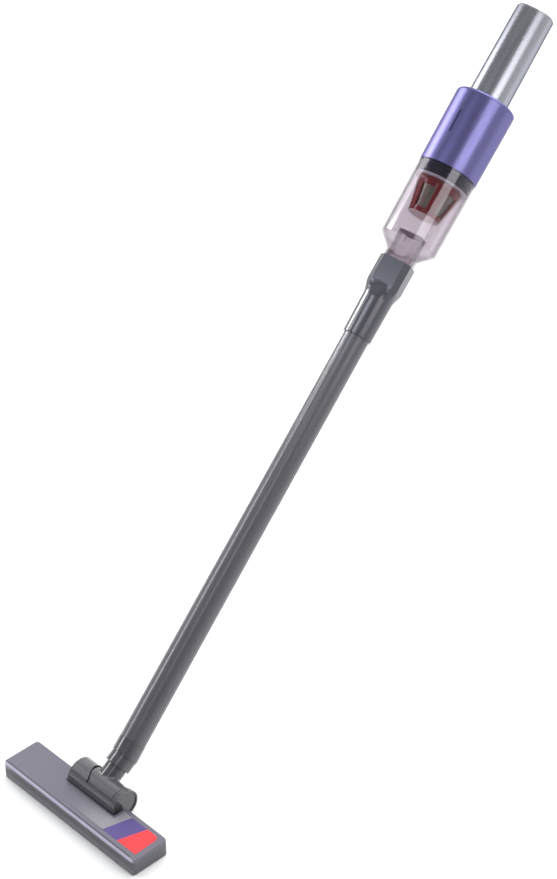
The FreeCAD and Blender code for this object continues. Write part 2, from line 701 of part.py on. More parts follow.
def cyclone_frame():
    """Tapered basket: closed bottom, wide top ring, five windows."""
    bend = D.basket_top - 4
    shell = turned((0, D.basket_bottom), (D.basket_low, D.basket_bottom), (D.basket_high, bend),
                   (D.basket_high, D.basket_top), (D.basket_high - 2.2, D.basket_top), (D.basket_high - 2.2, bend),
                   (D.basket_low - 1.8, D.basket_bottom + 2.4), (0, D.basket_bottom + 2.4))
    sectors = []
    for angle in polar(WINDOWS, start=-90.0 - D.window_angle.value / 2 + 8):
        sector = rod(40, D.window_low, D.window_high)
        bind(sector, "Angle", D.window_angle)
        sectors.append(turned_about_z(sector, angle))
    return cut(shell, *sectors)


def filter_pieces():
    mount_inner = ring(31.5, 34.2, D.cup_top - 10.8, D.cup_top + 8.6)
    plate = ring(12, 32, D.cup_top + 5, D.cup_top + 7.5)
    groove = ring(33.2, 40, D.cup_top - 6.5, D.cup_top - 4.5)
    node("cup_mount", cut(fuse(mount_inner, plate), groove), STICK)
    node("cup_seal", ring(33.25, 34.5, D.cup_top - 6.4, D.cup_top - 4.6), STICK)
    neck_top = D.cup_top + 4.8
    node("filter_ring", turned((24, D.basket_top + 0.1), (33, D.basket_top + 0.1), (33, D.cup_top - 11),
                               (31.3, D.cup_top - 11), (31.3, neck_top), (29, neck_top), (29, D.cup_top - 11),
                               (24, D.cup_top - 11)), STICK)
    node("cyclone_frame", cyclone_frame(), STICK)
    bend = D.basket_top - 4
    node("mesh_screen", turned((D.basket_low - 1.9, D.basket_bottom + 3.5), (D.basket_high - 2.3, bend),
                               (D.basket_high - 2.8, bend), (D.basket_low - 2.4, D.basket_bottom + 3.5)), STICK)
    node("filter_cartridge", ring(9, 16.3, D.basket_bottom + 3.6, D.basket_top - 0.2), STICK)


# ---------------------------------------------------------------- motor housing

def housing_radius(height):
    share = (height - D.housing_start) / (D.housing_top - D.housing_start)
    return D.housing_low + (D.housing_high - D.housing_low) * share


VENTS = 9


def motor_housing():
    """Outer shell with a rounded rim, a slot for the light bar and exhaust slots at the back."""
    under = D.housing_top - D.shoulder
    shell = turned((D.housing_low - D.housing_wall, D.housing_start), (D.housing_low, D.housing_start),
                   (D.housing_high, D.housing_top), (D.handle_low + 0.2, D.housing_top), (D.handle_low + 0.2, under),
                   (housing_radius(under) - D.housing_wall, under))
    round_edges(shell, D.rim_round, circle_at(D.housing_high, D.housing_top))
    slot = box((-D.light_half, D.light_half), (-45, -30), (D.light_low, D.light_high))
    vents = []
    for angle in polar(VENTS, start=-36.0, span=81.0):
        vents.append(turned_about_z(cut(box((-1.1, 1.1), (30, 45), (836, 856)), box((-2, 2), (0, 1), (0, 1))), angle))
    pilots = [rod(D.screw_radius + 0.05, under - 1, under + 2.6, "z", spot) for spot in handle_screw_spots()]
    return cut(shell, slot, *vents, *pilots)


def handle_screw_spots():
    return [(28.6 * math.cos(math.radians(a)), 28.6 * math.sin(math.radians(a))) for a in polar(3, start=30.0)]


def light_bar():
    inside = housing_radius(D.light_low) - D.housing_wall + 0.4
    outside = housing_radius(D.light_low) - 0.25
    bar = box((-D.light_half + 0.05, D.light_half - 0.05), (-45, 0), (D.light_low + 0.05, D.light_high - 0.05))
    return common(ring(inside, outside, D.light_low - 5, D.light_high + 5), bar)


BLADES = 9


def impeller():
    """Fan wheel with straight blades on a disc, pressed on its shaft."""
    disc = turned((1.6, 785), (5, 785), (6, 791), (22, 793.5), (22, 795), (1.6, 795))
    blades = []
    for angle in polar(BLADES):
        blade = padded(9, (4, -0.6), (21.5, 4.4), (21.5, 5.6), (4, 0.6))
        blade.Placement = Placement(Vector(0, 0, 785), Rotation(Z_AXIS, angle))
        blades.append(blade)
    envelope = turned((3, 784), (12, 784), (22, 790), (22, 796), (3, 796))
    return fuse(disc, common(fuse(*blades), envelope))


def motor_pieces():
    node("motor_housing", motor_housing(), STICK)
    node("light_bar", light_bar(), STICK)
    node("fan_shroud", turned((13.5, 780), (26, 780), (26, 800.5), (15.4, 800.5), (15.4, 798), (23.2, 798),
                              (23.2, 789.5), (13.5, 783)), STICK)
    node("fan_damper", ring(26.1, 34.6, 784, 796), STICK)
    node("impeller", impeller(), STICK)
    node("impeller_shaft", rod_group(1.6, 783, 805.8), STICK)
    node("motor", turned((0, 806), (1.67, 806), (1.67, 799), (6, 799), (6, 801), (15, 801), (15, 834), (10, 834),
                         (10, 837), (0, 837)), STICK)
    slots = [rod(4.4, 820, 840, "z", (23 * math.cos(math.radians(a)), 23 * math.sin(math.radians(a))))
             for a in polar(6)]
    node("motor_frame", cut(ring(15.1, 34.9, 829, 832), *slots), STICK)
    node("exhaust_foam", ring(30.5, 35.0, 834.5, 857.2), STICK)
    leads = [rod(0.9, 837.2, 869.8, "z", (x, 0)) for x in (-6, 6)]
    node("motor_leads", group(*leads), STICK)


def rod_group(radius, low, high):
    return group(rod(radius, low, high))


# ---------------------------------------------------------------- handle

def handle_radius(height):
    share = (height - D.housing_top) / (D.handle_top - D.housing_top)
    return D.handle_low + (D.handle_high - D.handle_low) * share


def handle_tube():
    """Tapered grip tube with a flange under the housing's upper face."""
    flange_top = D.housing_top - D.shoulder - 0.1
    top = D.handle_top - D.cap_height
    tube = turned((D.handle_bore, flange_top - 4), (31.2, flange_top - 4), (31.2, flange_top),
                  (D.handle_low, flange_top), (D.handle_low, D.housing_top), (handle_radius(top), top),
                  (D.handle_bore, top))
    holes = [rod(D.screw_radius + 0.15, 850, 870, "z", spot) for spot in handle_screw_spots()]
    return cut(tube, *holes)


def end_cap():
    """Closing cap with the button's guide hole and the charging inlet's opening."""
    top = D.handle_top
    seat = top - D.cap_height + 0.1
    cap = turned((D.button_radius + D.run_gap, top), (D.handle_high, top), (handle_radius(seat), seat),
                 (D.handle_bore - 0.1, seat), (D.handle_bore - 0.1, top - 12), (D.handle_bore - 2, top - 12),
                 (D.handle_bore - 2, top - 3), (D.button_radius + D.run_gap, top - 3))
    round_edges(cap, D.cap_round, circle_at(D.handle_high, top))
    return cut(cap, box((-4.75, 4.75), (13.7, 17.3), (970, 1000)))


def power_button():
    top = D.handle_top + D.button_stand
    flange = D.handle_top - 3.1
    return turned((0, top), (D.button_radius, top), (D.button_radius, flange), (D.button_radius + 2, flange),
                  (D.button_radius + 2, flange - 1.5), (3, flange - 1.5), (3, flange - 4.5), (0, flange - 4.5))


def button_dome(low, high):
    """Silicone dome that pushes the button back."""
    return turned((7.2, low), (9.0, low), (9.0, low + 0.8), (8.1, low + 0.8), (6.5, high), (5.3, high),
                  (5.3, high - 0.9), (5.6, high - 0.9), (7.2, low + 0.8))


def charge_socket():
    """Small oval charging inlet."""
    shell = box((-4.6, 4.6), (13.85, 17.15), (980.5, 990.2))
    return cut(shell, box((-4.1, 4.1), (14.35, 16.65), (982, 995)))


def handle_pieces():
    node("handle_tube", handle_tube(), STICK)
    screws = []
    for spot in handle_screw_spots():
        head = rod(2.3, 857.8, 860.2, "z", spot)
        screws.append(fuse(head, rod(D.screw_radius, 860, 867, "z", spot)))
    node("handle_screws", group(*screws), STICK)
    board = cut(ring(3, 21.8, 870, 871.6), box((-30, 30), (17, 30), (860, 880)))
    chips = [box((-8, -2), (-12, -6), (871.4, 873)), box((3, 12), (-4, 4), (871.4, 875))]
    node("control_board", fuse(board, *chips), STICK)
    spots = [(D.cell_offset * math.cos(math.radians(a)), D.cell_offset * math.sin(math.radians(a)))
             for a in polar(3, start=90.0)]
    cell_end = D.cell_start + D.cell_length
    node("battery_cells", group(*[rod(D.cell_radius, D.cell_start, cell_end, "z", s) for s in spots]), STICK)
    for name, low, high in (("battery_holder_lower", D.cell_start - 3, D.cell_start + 4),
                            ("battery_holder_upper", cell_end - 4, cell_end + 3)):
        depth = (D.cell_start - 0.5, cell_end + 0.5)
        seats = [rod(D.cell_radius + 0.1, depth[0], depth[1], "z", s) for s in spots]
        node(name, cut(ring(2, D.handle_bore - 0.2, low, high), *seats), STICK)
    tabs = [rod(4, cell_end + 0.05, cell_end + 0.45, "z", s) for s in spots]
    node("cell_tabs", group(*tabs), STICK)
    node("end_cap", end_cap(), STICK)
    node("power_button", power_button(), STICK)
    flange = D.handle_top.value - 4.6
    node("button_dome", button_dome(flange - 9.45, flange - 0.05), STICK)
    plate = ring(2, 21.8, flange - 11, flange - 9.5)
    node("switch_board", fuse(plate, box((-3, 3), (-3, 3), (flange - 9.6, flange - 4.2))), STICK)
    node("charge_socket", charge_socket(), STICK)


# ---------------------------------------------------------------- build and save

def check(obj):
    """Stops the build if a piece failed or its shape isn't sound."""
    shape = obj.Shape
    if shape.isNull() or not shape.isValid() or not shape.Solids:
        raise RuntimeError("bad shape: %s" % obj.Label)
    return shape


def save():
    doc.recompute()
    for obj in doc.Objects:
        if "Invalid" in obj.State or "Error" in obj.State:
            raise RuntimeError("failed: %s %s" % (obj.Label, obj.State))
    os.makedirs("parts", exist_ok=True)
    for obj in nodes:
        shape = check(obj)
        shape.exportStep("parts/%s.step" % obj.Label)
        print("%-22s solids %d  volume %9.1f" % (obj.Label, len(shape.Solids), shape.Volume))


head_pieces()
pivot_pieces()
wand_pieces()
cup_pieces()
filter_pieces()
motor_pieces()
handle_pieces()
save()
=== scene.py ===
"""Looks of the cordless stick vacuum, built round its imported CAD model.

Units are metres. The stick frame has its origin at the elbow and z along the tube.
"""

import math

import bmesh
import bpy
from mathutils import Matrix, Vector


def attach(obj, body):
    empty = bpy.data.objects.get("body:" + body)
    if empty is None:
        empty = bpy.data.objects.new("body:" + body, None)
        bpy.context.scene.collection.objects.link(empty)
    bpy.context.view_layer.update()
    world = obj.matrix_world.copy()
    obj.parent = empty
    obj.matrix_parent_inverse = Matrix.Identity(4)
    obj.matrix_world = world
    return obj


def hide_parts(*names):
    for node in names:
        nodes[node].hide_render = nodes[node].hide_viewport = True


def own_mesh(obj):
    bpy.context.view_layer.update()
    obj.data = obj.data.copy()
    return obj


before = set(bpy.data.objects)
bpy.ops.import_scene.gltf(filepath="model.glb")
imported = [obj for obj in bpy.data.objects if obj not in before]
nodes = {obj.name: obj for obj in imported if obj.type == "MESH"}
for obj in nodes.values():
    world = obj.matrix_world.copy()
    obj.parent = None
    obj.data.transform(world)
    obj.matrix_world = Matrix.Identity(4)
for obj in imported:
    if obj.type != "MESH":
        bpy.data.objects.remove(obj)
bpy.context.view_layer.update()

# ---------------------------------------------------------------- frames of the stick and the neck

NECK_LENGTH = 0.043
NECK_LEAN, STICK_LEAN, STICK_SIDEWAYS = math.radians(-55.7), math.radians(-49.3), math.radians(-5.0)

PIVOT = Vector((0, 0.026, 0.024))
NECK = Matrix.Rotation(NECK_LEAN, 3, "X")
ELBOW = PIVOT + NECK @ Vector((0, 0, NECK_LENGTH))
TURN = Matrix.Rotation(STICK_LEAN, 3, "X") @ Matrix.Rotation(STICK_SIDEWAYS, 3, "Y")
STICK = Matrix.Translation(ELBOW) @ TURN.to_4x4()
AXIS = TURN @ Vector((0, 0, 1))


# ---------------------------------------------------------------- material helpers

EDGE = 0.0004           # how far plain edges are softened
COAT_ROUGH, METAL_COAT_ROUGH = 0.12, 0.22
CLEAR_EDGE = 0.0016     # how far the painted dark outline of clear plastic reaches
CLEAR_GLOSS, CLEAR_RIM_GLOSS = 0.0462, 0.8


def set_range(node, low, high, new_low, new_high):
    for key, number in (("From Min", low), ("From Max", high), ("To Min", new_low), ("To Max", new_high)):
        node.inputs[key].default_value = number


class Nodes:
    """A material's node tree, with short calls for the nodes used here."""

    def __init__(self, name, stick=False):
        self.material = bpy.data.materials.new(name)
        self.material.use_nodes = True
        self.tree = self.material.node_tree
        self.shader = self.tree.nodes["Principled BSDF"]
        self.output = self.tree.nodes["Material Output"]
        self.place = self.tree.nodes.new("ShaderNodeTexCoord").outputs["Object"]
        if stick:
            local = self.add("ShaderNodeMapping", vector_type="TEXTURE")
            local.inputs["Location"].default_value = ELBOW
            local.inputs["Rotation"].default_value = TURN.to_euler()
            self.link(self.place, local.inputs["Vector"])
            self.place = local.outputs["Vector"]

    def add(self, kind, **settings):
        node = self.tree.nodes.new(kind)
        for key, value in settings.items():
            setattr(node, key, value)
        return node

    def link(self, source, target):
        self.tree.links.new(source, target)

    def set(self, **values):
        for key, value in values.items():
            self.shader.inputs[key.replace("_", " ")].default_value = value

    def stretched(self, scale):
        """The place vector scaled along each axis."""
        node = self.add("ShaderNodeMapping")
        node.inputs["Scale"].default_value = scale
        self.link(self.place, node.inputs["Vector"])
        return node.outputs["Vector"]

    def noise(self, scale, detail=4.0, rough=0.55, vector=None):
        node = self.add("ShaderNodeTexNoise")
        node.inputs["Scale"].default_value = scale
        node.inputs["Detail"].default_value = detail
        node.inputs["Roughness"].default_value = rough
        self.link(vector or self.place, node.inputs["Vector"])
        return node.outputs["Fac"]

    def math(self, operation, a, b=None, c=None):
        node = self.add("ShaderNodeMath", operation=operation)
        for socket, value in zip(node.inputs, (a, b, c)):
            if value is not None:
                self.feed(socket, value)
        return node.outputs["Value"]

    def fit(self, value, low, high, new_low, new_high, smooth=False):
        node = self.add("ShaderNodeMapRange", clamp=True)
        if smooth:
            node.interpolation_type = "SMOOTHSTEP"
        self.link(value, node.inputs["Value"])
        set_range(node, low, high, new_low, new_high)
        return node.outputs["Result"]

    def mix(self, share, first, second):
        node = self.add("ShaderNodeMix", data_type="RGBA")
        colours = [socket for socket in node.inputs if socket.type == "RGBA"]
        for socket, value in zip((node.inputs["Factor"], *colours), (share, first, second)):
            self.feed(socket, value)
        return next(socket for socket in node.outputs if socket.type == "RGBA")

    def feed(self, socket, value):
        """Sets a socket to a number or a colour, or links another node's output to it."""
        if isinstance(value, (int, float)):
            socket.default_value = value
        elif isinstance(value, tuple):
            socket.default_value = (*value, 1.0)
        else:
            self.link(value, socket)

    def axes(self):
        """The place's own X, Y and Z."""
        node = self.add("ShaderNodeSeparateXYZ")
        self.link(self.place, node.inputs["Vector"])
        return node.outputs["X"], node.outputs["Y"], node.outputs["Z"]

    def sharp_edges(self, width):
        """0 on flat faces and up to 1 along sharp edges, and the softened normal."""
        bevel = self.add("ShaderNodeBevel", samples=4)
        bevel.inputs["Radius"].default_value = width
        true = self.add("ShaderNodeNewGeometry").outputs["Normal"]
        dot = self.add("ShaderNodeVectorMath", operation="DOT_PRODUCT")
        self.link(bevel.outputs["Normal"], dot.inputs[0])
        self.link(true, dot.inputs[1])
        return self.fit(dot.outputs["Value"], 0.99, 0.8, 0.0, 1.0), bevel.outputs["Normal"]

    def bump(self, height, distance, normal=None):
        node = self.add("ShaderNodeBump")
        node.inputs["Distance"].default_value = distance
        self.link(height, node.inputs["Height"])
        if normal is not None:
            self.link(normal, node.inputs["Normal"])
        return node.outputs["Normal"]


def rgb(red, green, blue):
    """Scene-linear colour from 0..255 screen values."""
    def linear(value):
        value /= 255
        return value / 12.92 if value <= 0.04045 else ((value + 0.055) / 1.055) ** 2.4
    return linear(red), linear(green), linear(blue)


def scaled(colour, amount):
    return tuple(min(1.0, part * amount) for part in colour)


def front_light_band(n, low, high):
    """Mask of painted light and shade on the head's front face: 1 between two heights, made patchy by noise,
    and 0 elsewhere.
    """
    fade, face_start, face_end = 0.0007, -0.0248, -0.0232
    height, depth = n.axes()[2], n.axes()[1]
    rise = n.fit(height, low - fade, low + fade, 0.0, 1.0, smooth=True)
    fall = n.fit(height, high - fade, high + fade, 1.0, 0.0, smooth=True)
    front = n.fit(depth, face_start, face_end, 1.0, 0.0, smooth=True)
    patchy = n.fit(n.noise(90.0, 5.0, 0.5, n.stretched((1.0, 4.0, 4.0))), 0.25, 0.6, 0.7, 1.0)
    return n.math("MULTIPLY", n.math("MULTIPLY", rise, fall), n.math("MULTIPLY", front, patchy))


def moulded(name, colour, rough=0.4, grain=0.00004, grain_scale=1400.0, spread=0.12, edge=EDGE, edge_highlight=1.5,
            coat=0.0, stick=False, uneven=0.05, light_bands=()):
    """Moulded plastic: fine grain, faint clouding, softened edges with a painted highlight along them.

    Each band is a low and a high height on the head's front face, and how much lighter or darker the colour
    is painted between them.
    """
    n = Nodes(name, stick)
    painted_edge, soft = n.sharp_edges(edge)
    cloud = n.noise(35.0)
    base = n.mix(cloud, scaled(colour, 1 - spread), scaled(colour, 1 + spread))
    # painted highlight: the colour lightens along sharp edges
    base = n.mix(n.math("MULTIPLY", painted_edge, 0.45), base, scaled(colour, edge_highlight))
    # painted highlight and painted shade in bands across the head's front face
    for low, high, shade in light_bands:
        base = n.mix(front_light_band(n, low, high), base, scaled(colour, shade))
    n.link(base, n.shader.inputs["Base Color"])
    n.link(n.fit(n.noise(120.0, 6.0), 0.3, 0.7, rough - uneven, rough + uneven), n.shader.inputs["Roughness"])
    fine = n.noise(grain_scale, 2.0)
    n.link(n.bump(fine, grain, soft), n.shader.inputs["Normal"])
    n.set(Coat_Weight=coat, Coat_Roughness=COAT_ROUGH)
    return n.material


def metal(name, colour, rough=0.3, grain=(500.0, 500.0, 12.0), depth=0.00002, stick=True, spread=0.06,
          metallic=1.0, coat=0.0, rim=(1.0, 1.0, 1.0)):
    """Metal with a fine grain along one axis, a little uneven. `rim` tints its gloss at grazing angles."""
    n = Nodes(name, stick)
    painted_edge, soft = n.sharp_edges(EDGE)
    lines = n.noise(1.0, 3.0, 0.6, n.stretched(grain))
    cloud = n.noise(18.0)
    base = n.mix(cloud, scaled(colour, 1 - spread), scaled(colour, 1 + spread))
    base = n.mix(n.fit(lines, 0.3, 0.7, 0.0, 0.35), base, scaled(colour, 0.88))
    # painted highlight: the colour lightens along sharp edges
    base = n.mix(n.math("MULTIPLY", painted_edge, 0.5), base, scaled(colour, 1.25))
    n.link(base, n.shader.inputs["Base Color"])
    n.link(n.fit(lines, 0.3, 0.7, rough - 0.04, rough + 0.05), n.shader.inputs["Roughness"])
    n.link(n.bump(lines, depth, soft), n.shader.inputs["Normal"])
    n.set(Metallic=metallic, Coat_Weight=coat, Coat_Roughness=METAL_COAT_ROUGH,
          Specular_Tint=(*rim, 1.0))
    return n.material


def rubber(name, colour, rough=0.75):
    n = Nodes(name)
    dust = n.fit(n.noise(160.0, 8.0), 0.45, 0.75, 0.0, 0.35)
    n.link(n.mix(dust, colour, scaled(colour, 1.9)), n.shader.inputs["Base Color"])
    n.link(n.fit(n.noise(300.0), 0.3, 0.7, rough - 0.08, rough + 0.08), n.shader.inputs["Roughness"])
    n.link(n.bump(n.noise(2600.0, 3.0), 0.00005), n.shader.inputs["Normal"])
    return n.material


def felt(name, colour):
    n = Nodes(name)
    pile = n.noise(2500.0, 6.0, 0.7, n.stretched((1.0, 1.0, 0.4)))
    n.link(n.mix(n.fit(pile, 0.3, 0.7, 0.0, 1.0), scaled(colour, 0.5), scaled(colour, 1.6)),
           n.shader.inputs["Base Color"])
    n.link(n.fit(pile, 0.3, 0.7, 0.85, 1.0), n.shader.inputs["Roughness"])
    n.link(n.bump(pile, 0.0003), n.shader.inputs["Normal"])
    n.set(Sheen_Weight=0.4, Sheen_Roughness=0.5)
    return n.material


def clear(name, tint, rough=0.07, depth=0.6, outline=0.8):
    """Clear plastic: see-through with a tint that deepens where it is seen edge on, a painted dark outline
    along sharp edges, and a glossy skin.
    """
    n = Nodes(name, True)
    layer = n.add("ShaderNodeLayerWeight")
    layer.inputs["Blend"].default_value = 0.5
    facing = layer.outputs["Facing"]
    through = n.add("ShaderNodeBsdfTransparent")
    thick = n.fit(facing, 0.4, 1.0, 0.0, depth)
    smoky = n.mix(n.noise(25.0), scaled(tint, 0.985), scaled(tint, 1.015))
    # painted shade: the see-through tint darkens along sharp edges into a dark outline
    painted_edge = n.sharp_edges(CLEAR_EDGE)[0]
    edged = n.mix(n.math("MULTIPLY", painted_edge, outline), smoky, scaled(tint, 0.4))
    n.link(n.mix(thick, edged, scaled(tint, 0.3)), through.inputs["Color"])
    n.set(Metallic=1.0)
    n.link(n.mix(n.noise(60.0), (0.97, 0.96, 0.98), (0.90, 0.88, 0.92)), n.shader.inputs["Base Color"])
    n.link(n.fit(n.noise(220.0, 5.0), 0.3, 0.7, rough, rough + 0.04), n.shader.inputs["Roughness"])
    wave = n.noise(1.0, 2.0, 0.5, n.stretched((60.0, 60.0, 8.0)))
    n.link(n.bump(wave, 0.00001), n.shader.inputs["Normal"])
    glossy = n.math("MULTIPLY_ADD", n.math("POWER", facing, 5.0), CLEAR_RIM_GLOSS, CLEAR_GLOSS)
    blend = n.add("ShaderNodeMixShader")
    n.link(glossy, blend.inputs["Fac"])
    n.link(through.outputs["BSDF"], blend.inputs[1])
    n.link(n.shader.outputs["BSDF"], blend.inputs[2])
    n.link(blend.outputs["Shader"], n.output.inputs["Surface"])
    return n.material


def label_film():
    """Grey film that fades in, with one purple and one red slanted block at its right end."""
    n = Nodes("label_film")
    front, rear = -0.0159, 0.0197
    purple_start, purple_slant, red_start, red_slant = 0.0550, -0.266, 0.0800, -0.304
    x, y = n.axes()[:2]
    wobble = n.noise(400.0, 3.0)
    grey = n.mix(n.fit(x, -0.005, 0.045, 0.0, 1.0, smooth=True), rgb(98, 95, 107), rgb(126, 124, 131))
    purple = n.mix(wobble, rgb(64, 48, 112), rgb(76, 58, 126))
    red = n.mix(wobble, rgb(226, 30, 38), rgb(238, 40, 48))
    inside = n.math("MULTIPLY", n.math("GREATER_THAN", y, front), n.math("LESS_THAN", y, rear))
    first = n.math("GREATER_THAN", n.math("MULTIPLY_ADD", y, purple_slant, x), purple_start)
    second = n.math("GREATER_THAN", n.math("MULTIPLY_ADD", y, red_slant, x), red_start)
    blocks = n.mix(second, n.mix(first, grey, purple), red)
    n.link(n.mix(inside, grey, blocks), n.shader.inputs["Base Color"])
    n.link(n.fit(n.noise(150.0), 0.3, 0.7, 0.28, 0.36), n.shader.inputs["Roughness"])
    n.link(n.bump(n.noise(900.0), 0.00001), n.shader.inputs["Normal"])
    return n.material


def two_tone():
    """Light grey ring with a navy gasket moulded on its upper part."""
    gasket_start = 0.7568
    n = Nodes("filter_grey", True)
    z = n.axes()[2]
    cloud = n.noise(40.0)
    grey = n.mix(cloud, rgb(206, 202, 212), rgb(224, 220, 230))
    navy = n.mix(cloud, rgb(34, 32, 54), rgb(42, 40, 64))
    upper = n.math("GREATER_THAN", z, gasket_start)
    n.link(n.mix(upper, grey, navy), n.shader.inputs["Base Color"])
    n.link(n.fit(n.noise(150.0), 0.3, 0.7, 0.3, 0.4), n.shader.inputs["Roughness"])
    n.link(n.bump(n.noise(1200.0, 2.0), 0.00002), n.shader.inputs["Normal"])
    return n.material


def screen_mesh():
    """Woven screen: two sets of wires round the axis and along it, with painted shade in the openings between
    them.
    """
    n = Nodes("screen_mesh", True)
    x, y, z = n.axes()
    angle = n.math("ARCTAN2", y, x)
    around = n.math("ABSOLUTE", n.math("SINE", n.math("MULTIPLY", angle, 90.0)))
    along = n.math("ABSOLUTE", n.math("SINE", n.math("MULTIPLY", z, 3600.0)))
    wires = n.math("MAXIMUM", around, along)
    # the openings between the wires are painted dark as painted shade, the wires light
    wire_colour = n.mix(n.fit(wires, 0.6, 1.0, 0.0, 1.0), rgb(34, 29, 27), rgb(176, 164, 146))
    n.link(wire_colour, n.shader.inputs["Base Color"])
    n.link(n.fit(wires, 0.6, 1.0, 0.5, 0.22), n.shader.inputs["Roughness"])
    n.link(n.bump(wires, 0.0002), n.shader.inputs["Normal"])
    n.set(Metallic=0.75, Coat_Weight=1.0, Coat_Roughness=0.08)
    return n.material


def foam():
    n = Nodes("foam")
    cells = n.add("ShaderNodeTexVoronoi")
    cells.inputs["Scale"].default_value = 900.0
    n.link(n.place, cells.inputs["Vector"])
    n.link(n.mix(n.fit(cells.outputs["Distance"], 0.0, 0.6, 0.0, 1.0), rgb(20, 20, 22), rgb(70, 70, 74)),
           n.shader.inputs["Base Color"])
    n.link(n.bump(cells.outputs["Distance"], 0.0004), n.shader.inputs["Normal"])
    n.set(Roughness=0.95)
    return n.material


def board():
    """Green circuit board with copper tracks under the lacquer."""
    n = Nodes("board", True)
    brick = n.add("ShaderNodeTexBrick")
    brick.inputs["Scale"].default_value = 320.0
    brick.inputs["Mortar Size"].default_value = 0.035
    n.link(n.place, brick.inputs["Vector"])
    tracks = n.fit(brick.outputs["Fac"], 0.0, 1.0, 0.0, 1.0)
    green = n.mix(n.noise(80.0), rgb(18, 70, 40), rgb(26, 88, 50))
    n.link(n.mix(tracks, green, rgb(60, 130, 70)), n.shader.inputs["Base Color"])
    n.link(n.fit(n.noise(200.0), 0.3, 0.7, 0.3, 0.45), n.shader.inputs["Roughness"])
    n.link(n.bump(tracks, 0.00005), n.shader.inputs["Normal"])
    return n.material


def paper():
    n = Nodes("filter_paper")
    fibre = n.noise(700.0, 8.0, 0.7)
    n.link(n.mix(fibre, rgb(205, 198, 182), rgb(238, 233, 220)), n.shader.inputs["Base Color"])
    n.link(n.bump(fibre, 0.0001), n.shader.inputs["Normal"])
    n.set(Roughness=0.9)
    return n.material


# ---------------------------------------------------------------- materials of the CAD nodes

# the cover's bands paint a highlight along its front top edge and shade in the groove under it; the base's
# bands make its lower lip lighter and paint shade under the cover's overhang
cover = moulded("head_cover", rgb(96, 93, 106), rough=0.30, grain=0.000012, grain_scale=1600.0, spread=0.04,
                edge=0.0012, edge_highlight=1.8, uneven=0.015, light_bands=[(0.0194, 0.0230, 3.4), (0.0160, 0.0188, 0.5)])
base = moulded("head_base", rgb(82, 81, 88), rough=0.34, grain=0.00003, grain_scale=1200.0, spread=0.05,
               edge=0.0008, edge_highlight=2.0, uneven=0.02, light_bands=[(0.0010, 0.0076, 1.55), (0.0088, 0.0185, 0.72)])
pivot = moulded("pivot_plastic", rgb(72, 71, 78), rough=0.22, grain=0.000012, grain_scale=1500.0, spread=0.06,
                edge=0.0006, edge_highlight=2.0, coat=0.5, uneven=0.03)
black = moulded("inner_plastic", rgb(38, 38, 42), rough=0.5, grain=0.00005, grain_scale=1200.0, spread=0.15)
adapter = moulded("adapter_plastic", rgb(70, 70, 80), rough=0.21, grain=0.000008, grain_scale=1500.0,
                  spread=0.06, edge=0.0008, edge_highlight=1.6, coat=0.25, stick=True, uneven=0.02)
basket = moulded("filter_red", rgb(140, 14, 28), rough=0.16, grain=0.00001, grain_scale=1500.0, spread=0.2,
                 edge=0.0006, edge_highlight=2.2, coat=0.6, stick=True)
mount = moulded("mount_black", rgb(32, 32, 70), rough=0.3, stick=True)
# the light bar's edges get a strong painted highlight
light_bar = moulded("light_bar", rgb(52, 48, 88), rough=0.2, edge_highlight=4.0, edge=0.0006, stick=True)
acetal = moulded("acetal", rgb(226, 224, 214), rough=0.45)
cells = moulded("cell_sleeve", rgb(52, 130, 150), rough=0.3, stick=True)
button = moulded("button_grey", rgb(92, 92, 98), rough=0.35, stick=True)
socket = moulded("socket_black", rgb(24, 24, 26), rough=0.5, stick=True)

steel = metal("steel", (0.62, 0.62, 0.64), rough=0.32, grain=(300.0, 300.0, 300.0), depth=0.00001,
              stick=False)
tube = metal("tube_metal", rgb(92, 91, 97), rough=0.28, grain=(900.0, 900.0, 16.0), depth=0.000006,
             metallic=0.25)
housing = metal("housing_purple", (0.146, 0.136, 0.330), rough=0.33, grain=(700.0, 700.0, 40.0),
                depth=0.000006, spread=0.03, metallic=0.92, coat=0.5, rim=(0.22, 0.2, 0.34))
handle = metal("handle_silver", (0.405, 0.415, 0.46), rough=0.27, grain=(900.0, 900.0, 20.0), depth=0.000006,
               rim=(0.2, 0.2, 0.24))
rotor = metal("impeller_metal", (0.78, 0.78, 0.80), rough=0.25, grain=(200.0, 200.0, 200.0))
motor_can = metal("motor_steel", (0.42, 0.42, 0.44), rough=0.35, grain=(60.0, 60.0, 900.0))
nickel = metal("nickel", (0.70, 0.69, 0.66), rough=0.28, grain=(400.0, 30.0, 400.0))

